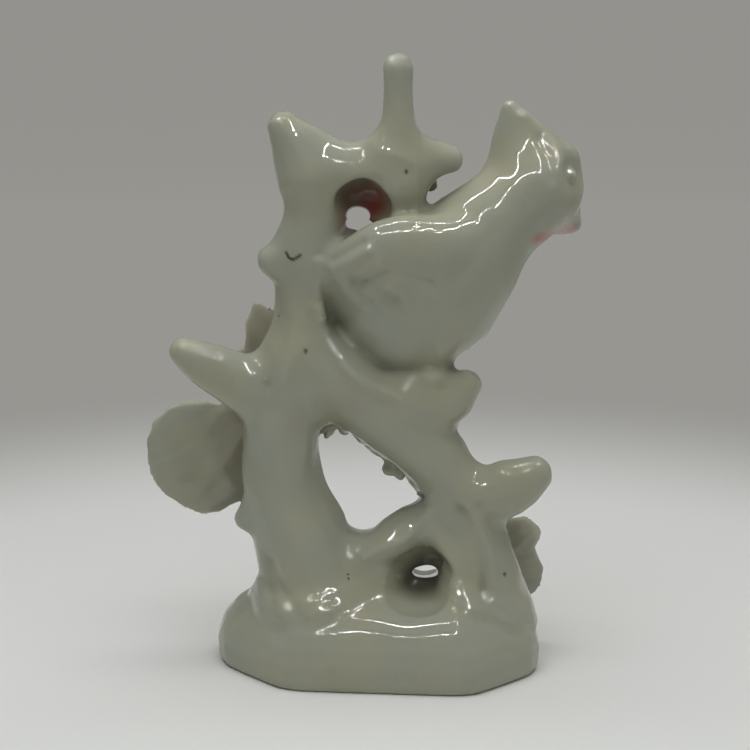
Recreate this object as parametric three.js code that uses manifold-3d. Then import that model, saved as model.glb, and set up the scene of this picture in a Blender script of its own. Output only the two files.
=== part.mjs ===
// Porcelain figurine: a crested songbird perched in the fork of a leafy branch, on an octagonal mound.
// Units are millimetres, +Z is up, and the origin is the centre of the foot's underside. The bird looks
// towards +X, the decorated front faces +Y and the plain back faces -Y.
//
// The figure is modelled as the potter assembles it before firing: castings and sprigged pieces, each a
// solid of its own, stuck together along a thin line of slip. Nothing on it moves.

import * as THREE from "three";
import { mergeVertices } from "three/addons/utils/BufferGeometryUtils.js";
import Module from "manifold-3d";

const wasm = await Module();
wasm.setup();

// ---------------------------------------------------------------- driving dimensions

const SLIP = 0.3; // gap left for the slip between two joined pieces
const WALL = 3.8; // wall of the hollow, slip-cast pieces

const FOOT = {
  width: 68,
  depth: 43,
  corner: 0.735, // how far out the 45 degree faces stand, as a share of the mean half-size
  turn: THREE.MathUtils.degToRad(-5),
  skew: 0.08, // how far the mould leans to +X for each step towards the back
  floor: 3.5, // thickness of the floor under the hollow
};
const POUR_HOLE = { radius: 6, x: -13, y: 1 };

// The bowl scooped out under the strut, and the small window that runs on from it to the front.
const SCOOP = { centre: [8.4, -12, 21], radii: [7.8, 11.5, 6] };
const WINDOW = { centre: [10, 4, 18.2], halfWidth: 3.2, halfHeight: 2, halfLength: 20, tilt: -0.2 };

// The bird's body is hollow and vents through its belly into the joint with the branch.
const VENT = { centre: [6, 2, 62], radius: 1.2, length: 14 };

// The plain back of the figure is bare white glaze; colour is painted on what faces the front.
const COLOURS = {
  glaze: { color: 0xd8dbd0, roughness: 0.08 },
  red_glaze: { color: 0xa62a22, roughness: 0.1 },
  orange_glaze: { color: 0xd07a3a, roughness: 0.1 },
  green_glaze: { color: 0x728a58, roughness: 0.1 },
  yellow_glaze: { color: 0xd3ab45, roughness: 0.12 },
};

// ---------------------------------------------------------------- the branch, as limbs

// A station is [x, y, z, r, d]: a point of a limb's centreline, its half-width in the figure's XZ plane and
// its half-depth along Y, which is the half-width where it is left out.
const LIMBS = {
  trunk: [
    [-12.4, 0, 9, 14, 17],
    [-13, 0, 19, 11.5, 14],
    [-16.8, 0, 29, 10, 11],
    [-19.6, 0, 38, 8.4, 9],
    [-20, 0, 48, 8.2, 8.6],
    [-18.6, 0, 58, 8.8, 8.6],
    [-17, 0, 66, 7.6, 7.6],
    [-16, 0, 72.5, 5.4, 6.4],
  ],
  trunk_top: [
    [-16.8, 0, 69, 5.2, 6],
    [-15.9, 0, 77, 5.2, 5.8],
    [-14.6, 0, 86, 6.2, 6.2],
    [-13, 0, 94, 6, 6],
    [-13.2, 0, 102, 6.2, 6],
  ],
  left_horn: [
    [-12.2, 0, 101.5, 7.4, 6],
    [-15.2, -0.5, 106.8, 6.8, 5.6],
    [-18.3, -1, 111.6, 4.1, 4],
  ],
  crown_arch: [
    [-13, 0, 102.4, 5.8, 5.6],
    [-4.5, 0, 103.8, 4.2, 5],
    [3.5, 0, 103.2, 5.8, 5.4],
  ],
  spire: [
    [3.6, 1.2, 94.4, 5, 5],
    [4, 0.8, 101.5, 7, 5.2],
    [3.6, 0, 108.4, 5.2, 4.4],
    [3.8, 0, 114, 3.3, 3.3],
    [4.1, 0, 119.4, 2.6, 2.7],
    [4.2, 0, 123.8, 3.2, 3],
  ],
  crown_right_stub: [
    [5, 0.5, 104.8, 5.2, 4.8],
    [10, 2, 105.4, 4.4, 4.2],
    [13.8, 3, 105.2, 3.3, 3.4],
  ],
  crown_web: [
    [-11, 3.6, 97.4, 4.4, 2.8],
    [-4, 3.6, 98.4, 4.2, 2.6],
    [4, 3.6, 96, 4.6, 2.8],
  ],
  side_knot: [
    [-15, -0.5, 87, 5.6, 5],
    [-18.4, -1.5, 86, 5, 4.4],
    [-20.4, -2, 85.4, 4.2, 3.8],
  ],
  left_stub: [
    [-18, 0, 56.5, 7.8, 7.2],
    [-26, -2, 59.6, 6.6, 6],
    [-33.5, -3.5, 63.6, 4.8, 4.6],
    [-39.2, -4.2, 67.1, 2.9, 2.9],
  ],
  trunk_knob: [
    [-19, -1, 36, 6.4, 5.4],
    [-24, -1.2, 33, 4.8, 4.2],
    [-27.6, -1.4, 31, 2.6, 2.6],
  ],
  perch: [
    [-15.2, 0, 68.4, 6.2, 6.6],
    [-9, -0.8, 62, 7.4, 7.6],
    [-1, -1, 55, 7.6, 7.4],
    [7, -1, 48.8, 7.4, 7.2],
    [13, -1, 43, 7, 7.2],
  ],
  perch_end: [
    [1, -1, 56.4, 6, 6.6],
    [8.6, -1.6, 56, 7, 6.8],
    [13.8, -1.9, 56, 5.6, 5.6],
    [17.6, -2, 59.4, 4, 4],
  ],
  prop: [
    [13.5, -1, 42, 6.4, 7],
    [17.2, -1, 35.5, 6.8, 7.2],
    [20.6, -0.8, 27.5, 6.8, 7.8],
    [23.2, -0.8, 19, 7.2, 10.4],
    [24.4, -0.6, 10, 8, 11],
  ],
  right_stub: [
    [15, -2.4, 40, 5.8, 5.6],
    [21.4, -4, 36.7, 5.7, 5.6],
    [27.6, -5, 38.6, 6, 5],
    [31.4, -5, 41, 4.4, 4],
  ],
  strut: [
    [-13, -1, 19, 8, 12],
    [-5, -1, 21.8, 6.2, 9.4],
    [3, -1, 26.4, 5, 7.2],
    [10, -1, 31.5, 4.6, 6],
    [15, -1, 36, 4.6, 6],
  ],
  root_web: [
    [-6, 3, 21, 6.5, 5],
    [5, 3.5, 24, 5.4, 4.2],
    [16, 3, 25, 6.5, 5],
  ],
  root_strand: [
    [11.5, -4.5, 29.5, 3, 3],
    [16, -6.4, 23.8, 3, 3],
    [18.4, -8.8, 16.4, 3, 3],
    [18.4, -11.6, 8.5, 3.4, 3.4],
  ],
};

// The tapering hollow that the drained slip leaves up the middle of the mound and the trunk.
const CORE = [
  [-12, 0, 9, 12.5 - WALL, 13 - WALL],
  [-14, 0, 19, 11 - WALL, 11 - WALL],
  [-18, 0, 30, 9.5 - WALL, 9 - WALL],
  [-19.6, 0, 42, 3.6, 4],
  [-19.4, 0, 52, 2.4, 2.8],
];

// ---------------------------------------------------------------- the bird

const BIRD = {
  body: [
    [-4.6, 3, 81, 9, 8.8],
    [2, 3, 78.2, 15.2, 12],
    [8.6, 3, 78, 16.6, 12.8],
    [15.6, 3.4, 83.6, 13.8, 12],
    [22.2, 4.2, 90.6, 10.8, 10.4],
    [27, 5.2, 94.8, 9.2, 9],
  ],
  crest: [
    [31.8, 6.6, 102, 9.2, 6.6],
    [28.7, 5.8, 108.6, 6.6, 4.6],
    [26.7, 5, 115.1, 2, 1.9],
  ],
  beak: [
    [35.6, 11.2, 95, 5.6, 5],
    [38.6, 14, 92.2, 4.6, 4],
    [40.8, 16.4, 90.2, 2.4, 2],
  ],
  near_wing: [
    [12.5, -5.4, 88.4, 6, 4],
    [5.4, -6.4, 88, 7.6, 4.8],
    [-1.6, -6, 86, 7, 4.6],
    [-7.2, -5, 84.8, 4.6, 3.6],
  ],
  far_wing: [
    [17, 12, 88, 4.6, 3],
    [9, 15, 83, 7.6, 3.4],
    [-2, 14, 78, 6, 2.8],
    [-11, 11.6, 74, 3, 1.8],
  ],
  tail: [
    [-4, 9, 82, 5, 2.8],
    [-10.5, 10.4, 79.4, 4, 2.2],
    [-17, 11, 77, 4.2, 1.8],
  ],
};
const HEAD = { x: 32, y: 7, z: 99, radius: 10.2 };
const FEET = [
  { name: "left_foot", x: 10 },
  { name: "right_foot", x: 3 },
];
const TOES = { y: 8.4, z: 53.8, slope: -0.55 }; // where the toes grip the perch, and how it falls along X

// ---------------------------------------------------------------- leaves and blossoms

// A blade (leaf or petal) starts at `at`, runs along `towards`, and its upper face looks along `faces`.
// `cup` is how far its tip and its side edges rise towards that face. `outline` is a pair of powers: the
// first rounds the foot of the blade, the second its tip, where a smaller power is blunter.
const LEAF_OUTLINE = [0.6, 0.85];
const PETAL_OUTLINE = [0.6, 0.5];
const BUTTON_FLATNESS = 0.75; // a blossom's button, as a share of its half-width

const LEAVES = {
  trunk_leaf: {
    at: [-17.5, 9.6, 36.5], towards: [0.25, 0.3, -1], faces: [0, 1, 0.3],
    length: 15, width: 9, thick: 1.8, cup: 1, outline: LEAF_OUTLINE,
  },
  perch_leaf: {
    at: [-3, 7.6, 49.5], towards: [0.55, 0.6, -0.75], faces: [0.3, 1, 0.4],
    length: 14, width: 8.4, thick: 1.8, cup: 1, outline: LEAF_OUTLINE,
  },
  stub_leaf: {
    at: [-17.2, 5.6, 59.4], towards: [-0.48, 0.06, 0.87], faces: [0, 1, 0],
    length: 17.6, width: 13, thick: 2, cup: 1, outline: LEAF_OUTLINE,
  },
  crown_leaf: {
    at: [4.6, 7.2, 104.4], towards: [0.78, 0.1, -0.6], faces: [0, 1, 0],
    length: 9.6, width: 7, thick: 1.9, cup: -1, outline: LEAF_OUTLINE,
  },
};

// Each petal is [angle from +X towards +Z, length from the blossom's middle, width].
const BLOSSOMS = {
  trunk_blossom: {
    at: [-24.4, 9.4, 47], faces: [-0.1, 1, 0.05], hub: 3.2, thick: 2, cup: 1.6,
    petals: [[204, 25.4, 25.5], [92, 18, 17], [10, 12, 15], [286, 20, 19]],
  },
  foot_blossom: {
    at: [23.6, 10.6, 16.4], faces: [0.1, 1, 0.12], hub: 2.3, thick: 1.7, cup: 1.2,
    petals: [[50, 13.8, 9.5], [-14, 12.4, 11], [-79, 9.4, 9], [207, 10, 10], [130, 11, 10]],
  },
};

// ---------------------------------------------------------------- geometry helpers

const UP_Y = new THREE.Vector3(0, 1, 0);

/** A closed three.js geometry as a manifold-3d solid. */
function solid(geometry) {
  const bare = geometry.clone();
  bare.deleteAttribute("normal");
  bare.deleteAttribute("uv");
  const merged = mergeVertices(bare, 1e-4);
  return new wasm.Manifold(
    new wasm.Mesh({
      numProp: 3,
      vertProperties: merged.attributes.position.array,
      triVerts: new Uint32Array(merged.index.array),
    }),
  );
}

/** A solid as a three.js geometry; slivers that a cut leaves loose are dropped. */
function geometryOf(shape) {
  const largest = shape.decompose().reduce((a, b) => (b.volume() > a.volume() ? b : a));
  const mesh = largest.asOriginal().simplify(0.05).getMesh();
  const geometry = new THREE.BufferGeometry();
  geometry.setAttribute("position", new THREE.BufferAttribute(mesh.vertProperties, 3));
  geometry.setIndex(new THREE.BufferAttribute(mesh.triVerts, 1));
  geometry.computeVertexNormals();
  return geometry;
}

/** Moves every vertex of a geometry by a function of its place. */
function reshape(geometry, move) {
  const place = geometry.attributes.position;
  const v = new THREE.Vector3();
  for (let i = 0; i < place.count; i++) {
    v.fromBufferAttribute(place, i);
    move(v);
    place.setXYZ(i, v.x, v.y, v.z);
  }
  return geometry;
}

const RINGS_PER_STATION = 1.6;
const RINGS_PER_CAP = 2;

/** A capsule bent along the stations' curve, with their changing half-width and half-depth. */
function limb(stations, grow = 0, sides = 12) {
  const line = new THREE.CatmullRomCurve3(stations.map(([x, y, z]) => new THREE.Vector3(x, y, z)));
  const girth = new THREE.CatmullRomCurve3(stations.map(([, , , r, d = r]) => new THREE.Vector3(r, d, 0)));
  const steps = Math.round(RINGS_PER_STATION * stations.length);
  const half = steps / 2;
  return reshape(new THREE.CapsuleGeometry(1, steps, RINGS_PER_CAP, sides, steps), (v) => {
    const along = THREE.MathUtils.clamp((v.y + half) / steps, 0, 1);
    const past = v.y - THREE.MathUtils.clamp(v.y, -half, half);
    const tangent = line.getTangent(along);
    const across = UP_Y.clone().cross(tangent).normalize();
    const deep = across.clone().cross(tangent);
    const { x: r, y: d } = girth.getPoint(along);
    const { x, z } = v;
    v.copy(line.getPoint(along));
    v.addScaledVector(tangent, past * (r + grow));
    v.addScaledVector(across, x * (r + grow));
    v.addScaledVector(deep, z * (d + grow));
  });
}

/** How far the octagon's outline lies from its centre, at an angle, for a half-width and half-depth. */
function octagonReach(angle, halfX, halfY) {
  const softness = 26; // the power that rounds the corners: higher is sharper
  const faces = [
    [1, 0, halfX],
    [0, 1, halfY],
    [Math.SQRT1_2, Math.SQRT1_2, FOOT.corner * (halfX + halfY) * Math.SQRT1_2],
  ];
  const c = Math.abs(Math.cos(angle));
  const s = Math.abs(Math.sin(angle));
  const sum = faces.reduce((t, [fx, fy, reach]) => t + ((c * fx + s * fy) / reach) ** softness, 0);
  return sum ** (-1 / softness);
}

/** The mound's outer form: an upright octagonal rim that rounds over into a dome. */
function mound(grow = 0, segments = 48) {
  // height above the foot, and the outline's size there as a share of the rim's
  const profile = [
    [0, 0],
    [0, 0.972],
    [1.2, 0.992],
    [5.5, 1],
    [8.5, 0.965],
    [11.5, 0.89],
    [14.5, 0.78],
    [17, 0.62],
    [18.6, 0.4],
    [19.2, 0],
  ];
  const points = profile.map(([z, share]) => new THREE.Vector2(share, z + (z > 0 ? grow : -grow)));
  const dome = new THREE.LatheGeometry(points, segments).rotateX(Math.PI / 2);
  return reshape(dome, (v) => {
    const share = Math.hypot(v.x, v.y);
    const angle = Math.atan2(v.y, v.x);
    const reach = octagonReach(angle, FOOT.width / 2 + grow, FOOT.depth / 2 + grow);
    const y = Math.sin(angle) * share * reach;
    v.set(Math.cos(angle) * share * reach - FOOT.skew * y, y, v.z);
  }).rotateZ(FOOT.turn);
}

function ellipsoid([x, y, z], [rx, ry, rz], detail = 16) {
  return new THREE.SphereGeometry(1, detail, detail / 2).scale(rx, ry, rz).translate(x, y, z);
}

/** A leaf or petal: a thin ball pulled out to an outline, and cupped. */
function blade({ at, towards, faces, length, width, thick, cup, outline: [foot, tip] }, grow = 0) {
  const along = new THREE.Vector3(...towards).normalize();
  const across = new THREE.Vector3(...faces).cross(along).normalize();
  const face = along.clone().cross(across);
  const place = new THREE.Matrix4().makeBasis(along, across, face).setPosition(...at);
  const swell = (run) => run ** foot * (1 - run) ** tip;
  const widest = foot / (foot + tip);
  const ball = new THREE.SphereGeometry(1, 10, 9).rotateZ(Math.PI / 2);
  return reshape(ball, (v) => {
    const run = (v.x + 1) / 2;
    const ring = Math.max(Math.hypot(v.y, v.z), 1e-9);
    const side = (v.y / ring) * (swell(Math.min(run, 1)) / swell(widest));
    const lift = cup * (side * side + run * run);
    const y = side * (width / 2 + grow);
    v.set(run * length + v.x * grow, y, v.z * (thick / 2 + grow) + lift);
    v.applyMatrix4(place);
  });
}

// ---------------------------------------------------------------- assembly, piece by piece

const figurine = new THREE.Group();
const placed = [];

function overlap(a, b) {
  return [0, 1, 2].every((k) => a.min[k] < b.max[k] && b.min[k] < a.max[k]);
}

/**
 * Adds one piece. `form(grow)` gives its outer form, `grow` larger all round, and `cavity` is what the
 * casting leaves empty. The piece makes room for every piece already placed that it would touch.
 */
function place(group, name, colour, form, cavity = []) {
  let shape = form(0);
  for (const earlier of placed) {
    if (overlap(earlier.box, shape.boundingBox())) shape = shape.subtract(earlier.form(SLIP));
  }
  for (const empty of cavity) shape = shape.subtract(empty);
  placed.push({ form, box: form(SLIP).boundingBox() });

  const material = new THREE.MeshStandardMaterial({ metalness: 0, ...COLOURS[colour] });
  const mesh = new THREE.Mesh(geometryOf(shape), material);
  mesh.name = name;
  group.add(mesh);
}

const [tree, bird, sprigs] = ["tree", "bird", "sprigs"].map(() => {
  const group = new THREE.Group();
  figurine.add(group);
  return group;
});

// ---------------------------------------------------------------- mound

const scoopForm = (grow) => solid(ellipsoid(SCOOP.centre, SCOOP.radii.map((r) => r + grow)));
const windowForm = (grow) => {
  const { centre, halfWidth, halfHeight, halfLength, tilt } = WINDOW;
  const bore = ellipsoid([0, 0, 0], [halfWidth + grow, halfLength, halfHeight + grow]);
  return solid(bore.rotateX(tilt).translate(...centre));
};
const openings = [scoopForm(0), windowForm(0)];

/** The mound's hollow: the same outline a wall's thickness in, above the floor. */
function hollow() {
  const inner = solid(mound(-WALL));
  const slab = new THREE.BoxGeometry(FOOT.width, FOOT.depth, 2 * FOOT.floor);
  return inner.subtract(solid(slab)).subtract(scoopForm(WALL)).subtract(windowForm(WALL));
}

function pourHole() {
  const { radius, x, y } = POUR_HOLE;
  const plug = new THREE.CylinderGeometry(radius, radius, 3 * FOOT.floor, 24).rotateX(Math.PI / 2);
  return solid(plug.translate(x, y, 0));
}

const core = solid(limb(CORE, 0, 12));
const moundForm = (grow) => solid(mound(grow));
place(tree, "mound", "glaze", moundForm, [hollow(), core, pourHole(), ...openings]);

// ---------------------------------------------------------------- bird and branch

const limbForm = (stations, sides) => (grow) => solid(limb(stations, grow, sides));

const birdHollow = solid(limb(BIRD.body.slice(1, 5), -WALL, 16));
const ventBore = new THREE.CylinderGeometry(VENT.radius, VENT.radius, VENT.length, 10);
const vent = solid(ventBore.rotateX(Math.PI / 2).translate(...VENT.centre));
// Its sections crowd together on the inside of the bend, so its neighbours keep a little further off.
const bodyForm = (grow) => solid(limb(BIRD.body, 1.7 * grow, 18));
place(bird, "bird_body", "glaze", bodyForm, [birdHollow, vent]);

const headForm = (grow) => {
  const radius = HEAD.radius + grow;
  return solid(ellipsoid([HEAD.x, HEAD.y, HEAD.z], [radius, radius, radius], 20));
};
place(bird, "bird_head", "glaze", headForm);
place(bird, "bird_crest", "glaze", limbForm(BIRD.crest, 12));
place(bird, "bird_beak", "glaze", limbForm(BIRD.beak, 12));

place(tree, "trunk", "glaze", limbForm(LIMBS.trunk), [core]);
place(tree, "trunk_top", "glaze", limbForm(LIMBS.trunk_top));
place(bird, "bird_near_wing", "glaze", limbForm(BIRD.near_wing, 12));
place(bird, "bird_far_wing", "red_glaze", limbForm(BIRD.far_wing, 12));
place(bird, "bird_tail", "red_glaze", limbForm(BIRD.tail, 12));

for (const [name, stations] of Object.entries(LIMBS)) {
  if (name === "trunk" || name === "trunk_top") continue;
  place(tree, name, "glaze", limbForm(stations), openings);
}

/** A foot: a short leg down from the belly that spreads into toes over the front of the perch. */
function foot(x) {
  const grip = TOES.z + TOES.slope * x;
  return [
    [x, TOES.y, grip + 11, 1.6, 1.6],
    [x + 0.3, TOES.y + 0.2, grip + 5, 1.5, 1.4],
    [x + 0.5, TOES.y, grip, 2.4, 1.6],
  ];
}
for (const { name, x } of FEET) place(bird, `bird_${name}`, "orange_glaze", limbForm(foot(x), 10));

// ---------------------------------------------------------------- leaves and blossoms

const bladeForm = (shape) => (grow) => solid(blade(shape, grow));

for (const [name, shape] of Object.entries(LEAVES)) place(sprigs, name, "green_glaze", bladeForm(shape));

for (const [name, { at, faces, hub, thick, cup, petals }] of Object.entries(BLOSSOMS)) {
  const axis = new THREE.Vector3(...faces).normalize();
  const level = new THREE.Vector3(1, 0, 0).addScaledVector(axis, -axis.x).normalize();
  const centre = new THREE.Vector3(...at);
  const outwards = new THREE.Quaternion().setFromUnitVectors(new THREE.Vector3(0, 0, 1), axis);

  place(sprigs, `${name}_button`, "yellow_glaze", (grow) => {
    const radii = [hub + grow, hub + grow, BUTTON_FLATNESS * hub + grow];
    return solid(ellipsoid([0, 0, 0], radii).applyQuaternion(outwards).translate(...at));
  });
  petals.forEach(([angle, reach, width], k) => {
    const towards = level.clone().applyAxisAngle(axis, THREE.MathUtils.degToRad(-angle));
    const start = centre.clone().addScaledVector(towards, hub / 2);
    const petal = {
      at: start.toArray(), towards: towards.toArray(), faces: axis.toArray(),
      length: reach - hub / 2, width, thick, cup, outline: PETAL_OUTLINE,
    };
    place(sprigs, `${name}_petal_${k + 1}`, "glaze", bladeForm(petal));
  });
}

export default figurine;
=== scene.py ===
"""Looks of the porcelain figurine: a crested songbird in the fork of a blossoming branch, on a mound.

The CAD nodes are separate clay pieces. Here they are luted together in a grid of distances, softened as
clay and glaze soften them, and detailed. The glazed figure is then divided again where the clay pieces
meet, so that every CAD node has one closed visible piece of its own. The figure's lengths are in
millimetres up to the last step, and those of the camera, the lights and the stage are in metres.
"""

import math

import bmesh
import bpy
import numpy as np
import openvdb as vdb
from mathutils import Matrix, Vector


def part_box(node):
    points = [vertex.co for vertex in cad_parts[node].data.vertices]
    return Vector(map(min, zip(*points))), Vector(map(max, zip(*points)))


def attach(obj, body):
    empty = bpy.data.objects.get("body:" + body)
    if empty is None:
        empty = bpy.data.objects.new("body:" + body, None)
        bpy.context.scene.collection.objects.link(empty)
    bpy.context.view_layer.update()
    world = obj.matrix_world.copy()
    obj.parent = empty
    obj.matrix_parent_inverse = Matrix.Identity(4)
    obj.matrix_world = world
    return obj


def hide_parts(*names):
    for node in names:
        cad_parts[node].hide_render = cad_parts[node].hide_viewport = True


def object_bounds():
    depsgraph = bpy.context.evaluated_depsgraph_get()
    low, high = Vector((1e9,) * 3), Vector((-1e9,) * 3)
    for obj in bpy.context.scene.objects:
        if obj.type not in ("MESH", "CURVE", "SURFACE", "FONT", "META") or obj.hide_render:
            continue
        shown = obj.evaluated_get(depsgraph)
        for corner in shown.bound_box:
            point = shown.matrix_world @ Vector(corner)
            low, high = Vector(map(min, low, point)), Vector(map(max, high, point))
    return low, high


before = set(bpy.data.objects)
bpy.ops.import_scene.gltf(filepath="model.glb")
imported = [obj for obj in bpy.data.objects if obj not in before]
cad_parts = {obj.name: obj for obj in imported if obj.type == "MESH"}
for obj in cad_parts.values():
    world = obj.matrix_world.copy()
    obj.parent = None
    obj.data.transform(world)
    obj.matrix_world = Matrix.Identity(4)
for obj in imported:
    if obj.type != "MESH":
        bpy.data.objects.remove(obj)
cad_low, cad_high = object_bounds()

MM = 0.001
VOXEL = 0.36
BAND = 5.0  # how far from a surface the distances are true

# ---------------------------------------------------------------- camera, light and stage

TARGET_HEIGHT = 0.0612
CAMERA_DISTANCE = 0.4
CAMERA_ELEVATION = math.radians(12)
CAMERA_SIDE = -0.0006
CAMERA_LENS = 93.6  # in millimetres, on a sensor 36 mm wide
CAMERA_SENSOR = 36


def add_camera():
    data = bpy.data.cameras.new("camera")
    data.lens = CAMERA_LENS
    data.sensor_width = CAMERA_SENSOR
    camera = bpy.data.objects.new("camera", data)
    bpy.context.scene.collection.objects.link(camera)
    back = CAMERA_DISTANCE * math.cos(CAMERA_ELEVATION)
    rise = CAMERA_DISTANCE * math.sin(CAMERA_ELEVATION)
    camera.location = (CAMERA_SIDE, -back, TARGET_HEIGHT + rise)
    camera.rotation_euler = (math.pi / 2 - CAMERA_ELEVATION, 0, 0)
    bpy.context.scene.camera = camera


# The lamp is a rectangle of light strips in the roof of a light tent. The glaze mirrors the strips, and
# the tent's roof spreads their light over everything else.
RING_HEIGHT = 0.40
RING_X = 0.17
RING_Y = 0.13
RING_CENTRE_Y = -0.15
STRIP_WIDTH = 0.002
STRIP_POWER = 0.4
ROOF_WIDTH = 0.5
ROOF_RISE = 0.05
ROOF_Y = -0.05
ROOF_POWER = 1.95


def area_light(name, place, size, power, is_lamp=True):
    """A rectangle of light: a lamp shows in the gloss only, and the roof shines on the colours only."""
    data = bpy.data.lights.new(name, "AREA")
    data.shape = "RECTANGLE"
    data.size, data.size_y = size
    data.energy = power
    light = bpy.data.objects.new(name, data)
    light.location = place
    light.visible_glossy = is_lamp
    light.visible_diffuse = not is_lamp
    light.visible_camera = False
    bpy.context.scene.collection.objects.link(light)


def add_lights():
    for side in (-1, 1):
        place = (0, RING_CENTRE_Y + side * RING_Y, RING_HEIGHT)
        area_light(f"strip_y{side}", place, (2 * RING_X, STRIP_WIDTH), STRIP_POWER * RING_X / RING_Y)
        place = (side * RING_X, RING_CENTRE_Y, RING_HEIGHT)
        area_light(f"strip_x{side}", place, (STRIP_WIDTH, 2 * RING_Y), STRIP_POWER)
    place = (0, ROOF_Y, RING_HEIGHT + ROOF_RISE)
    area_light("roof", place, (ROOF_WIDTH, ROOF_WIDTH), ROOF_POWER, is_lamp=False)


TENT_WALL = (0.285, 0.28, 0.262, 1)
TENT_TOP = (0.11, 0.11, 0.105, 1)
FLOOR_NEAR = (0.82, 0.83, 0.81, 1)
FLOOR_FAR = (0.02, 0.02, 0.02, 1)
NO_GLOW = (0, 0, 0, 1)


def add_world():
    world = bpy.data.worlds.new("tent")
    world.use_nodes = True
    background = world.node_tree.nodes["Background"]
    background.inputs["Color"].default_value = TENT_TOP
    bpy.context.scene.world = world


LATHE_SEGMENTS = 96


def lathe(name, profile):
    """A surface of revolution round the Z axis through (radius, height) points, in metres."""
    mesh = bpy.data.meshes.new(name)
    shape = bmesh.new()
    angles = [2 * math.pi * k / LATHE_SEGMENTS for k in range(LATHE_SEGMENTS)]
    rings = []
    for radius, height in profile:
        places = [(radius * math.cos(a), radius * math.sin(a), height) for a in angles]
        rings.append([shape.verts.new(place) for place in places])
    for low, high in zip(rings, rings[1:]):
        for k in range(LATHE_SEGMENTS):
            n = (k + 1) % LATHE_SEGMENTS
            shape.faces.new((low[k], low[n], high[n], high[k]))
    shape.faces.new(rings[0][::-1])
    for face in shape.faces:
        face.smooth = True
    shape.to_mesh(mesh)
    shape.free()
    obj = bpy.data.objects.new(name, mesh)
    bpy.context.scene.collection.objects.link(obj)
    return obj


def add_stage():
    """A pale floor that greys away from the object and sweeps up into the tent's wall."""
    flat, sweep, top = 0.8, 0.25, 0.3
    fade_start, fade_end = 0.13, 0.27
    arc = [math.radians(a) for a in range(0, 91, 10)]
    profile = [(0.02, 0), (0.1, 0), (0.25, 0), (0.5, 0)]
    profile += [(flat + sweep * math.sin(a), sweep * (1 - math.cos(a))) for a in arc]
    profile += [(flat + sweep, top)]
    floor = lathe("floor", profile)
    material = bpy.data.materials.new("floor_paper")
    material.use_nodes = True
    nodes, links = material.node_tree.nodes, material.node_tree.links
    shader = nodes["Principled BSDF"]
    shader.inputs["Roughness"].default_value = 0.6
    shader.inputs["Specular IOR Level"].default_value = 0.2
    shader.inputs["Emission Strength"].default_value = 1.0
    place = nodes.new("ShaderNodeNewGeometry")
    length = nodes.new("ShaderNodeVectorMath")
    length.operation = "LENGTH"
    fade = nodes.new("ShaderNodeMapRange")
    fade.interpolation_type = "SMOOTHSTEP"
    fade.inputs["From Min"].default_value = fade_start
    fade.inputs["From Max"].default_value = fade_end
    links.new(place.outputs["Position"], length.inputs[0])
    links.new(length.outputs["Value"], fade.inputs["Value"])
    for socket, near, far in (
        ("Base Color", FLOOR_NEAR, FLOOR_FAR),
        ("Emission Color", NO_GLOW, TENT_WALL),
    ):
        mix = nodes.new("ShaderNodeMix")
        mix.data_type = "RGBA"
        mix.inputs["A"].default_value = near
        mix.inputs["B"].default_value = far
        links.new(fade.outputs["Result"], mix.inputs["Factor"])
        links.new(mix.outputs["Result"], shader.inputs[socket])
    floor.data.materials.append(material)


# ---------------------------------------------------------------- distance grids

MARGIN = BAND + 1  # how far the grid reaches past the figure
GRID_LOW = np.floor((np.array(cad_low) / MM - MARGIN) / VOXEL).astype(int)
GRID_HIGH = np.ceil((np.array(cad_high) / MM + MARGIN) / VOXEL).astype(int)
GRID_SHAPE = tuple((GRID_HIGH - GRID_LOW + 1).tolist())
TRANSFORM = vdb.createLinearTransform(voxelSize=VOXEL)
WHOLE = (slice(None), slice(None), slice(None))


def node_mesh(name):
    """A CAD node's points, in millimetres, and triangles."""
    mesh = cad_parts[name].data
    mesh.calc_loop_triangles()
    points = np.empty(len(mesh.vertices) * 3, np.float32)
    mesh.vertices.foreach_get("co", points)
    triangles = np.empty(len(mesh.loop_triangles) * 3, np.int32)
    mesh.loop_triangles.foreach_get("vertices", triangles)
    return points.reshape(-1, 3) / MM, triangles.reshape(-1, 3).astype(np.uint32)


def region(low, high, margin=MARGIN):
    """The slices of the grid that a box, and a margin round it, takes up."""
    first = np.floor((np.asarray(low) - margin) / VOXEL).astype(int) - GRID_LOW
    last = np.ceil((np.asarray(high) + margin) / VOXEL).astype(int) - GRID_LOW + 1
    first, last = np.maximum(first, 0), np.minimum(last, GRID_SHAPE)
    return tuple(slice(int(a), int(b)) for a, b in zip(first, last))


def distances(points, where=WHOLE, triangles=None, quads=None):
    """Signed distance to a closed mesh in part of the grid, negative inside."""
    points = np.ascontiguousarray(points, np.float32)
    grid = vdb.FloatGrid.createLevelSetFromPolygons(
        points, triangles=triangles, quads=quads, transform=TRANSFORM, halfWidth=BAND / VOXEL
    )
    first = [s.start or 0 for s in where]
    size = [s.stop - s.start if s.stop else n for s, n in zip(where, GRID_SHAPE)]
    field = np.empty(size, np.float32)
    grid.copyToArray(field, ijk=tuple(int(a + b) for a, b in zip(GRID_LOW, first)))
    return field


def surface(field, offset):
    """Points and quads of the surface that lies `offset` outside the field's zero."""
    grid = vdb.FloatGrid(BAND)
    grid.copyFromArray(np.clip(field, -BAND, BAND), ijk=tuple(int(i) for i in GRID_LOW))
    grid.transform = TRANSFORM
    return grid.convertToQuads(isovalue=offset)


def soft_union(a, b, width):
    """The union of two fields, with a fillet about `width` wide where they meet."""
    near = np.clip(1 - np.abs(a - b) / width, 0, None)
    known = np.clip((BAND - np.maximum(a, b)) / 1.5, 0, 1)  # distances are cut off at the band's edge
    return np.minimum(a, b) - near * near * (width / 4) * known


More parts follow.
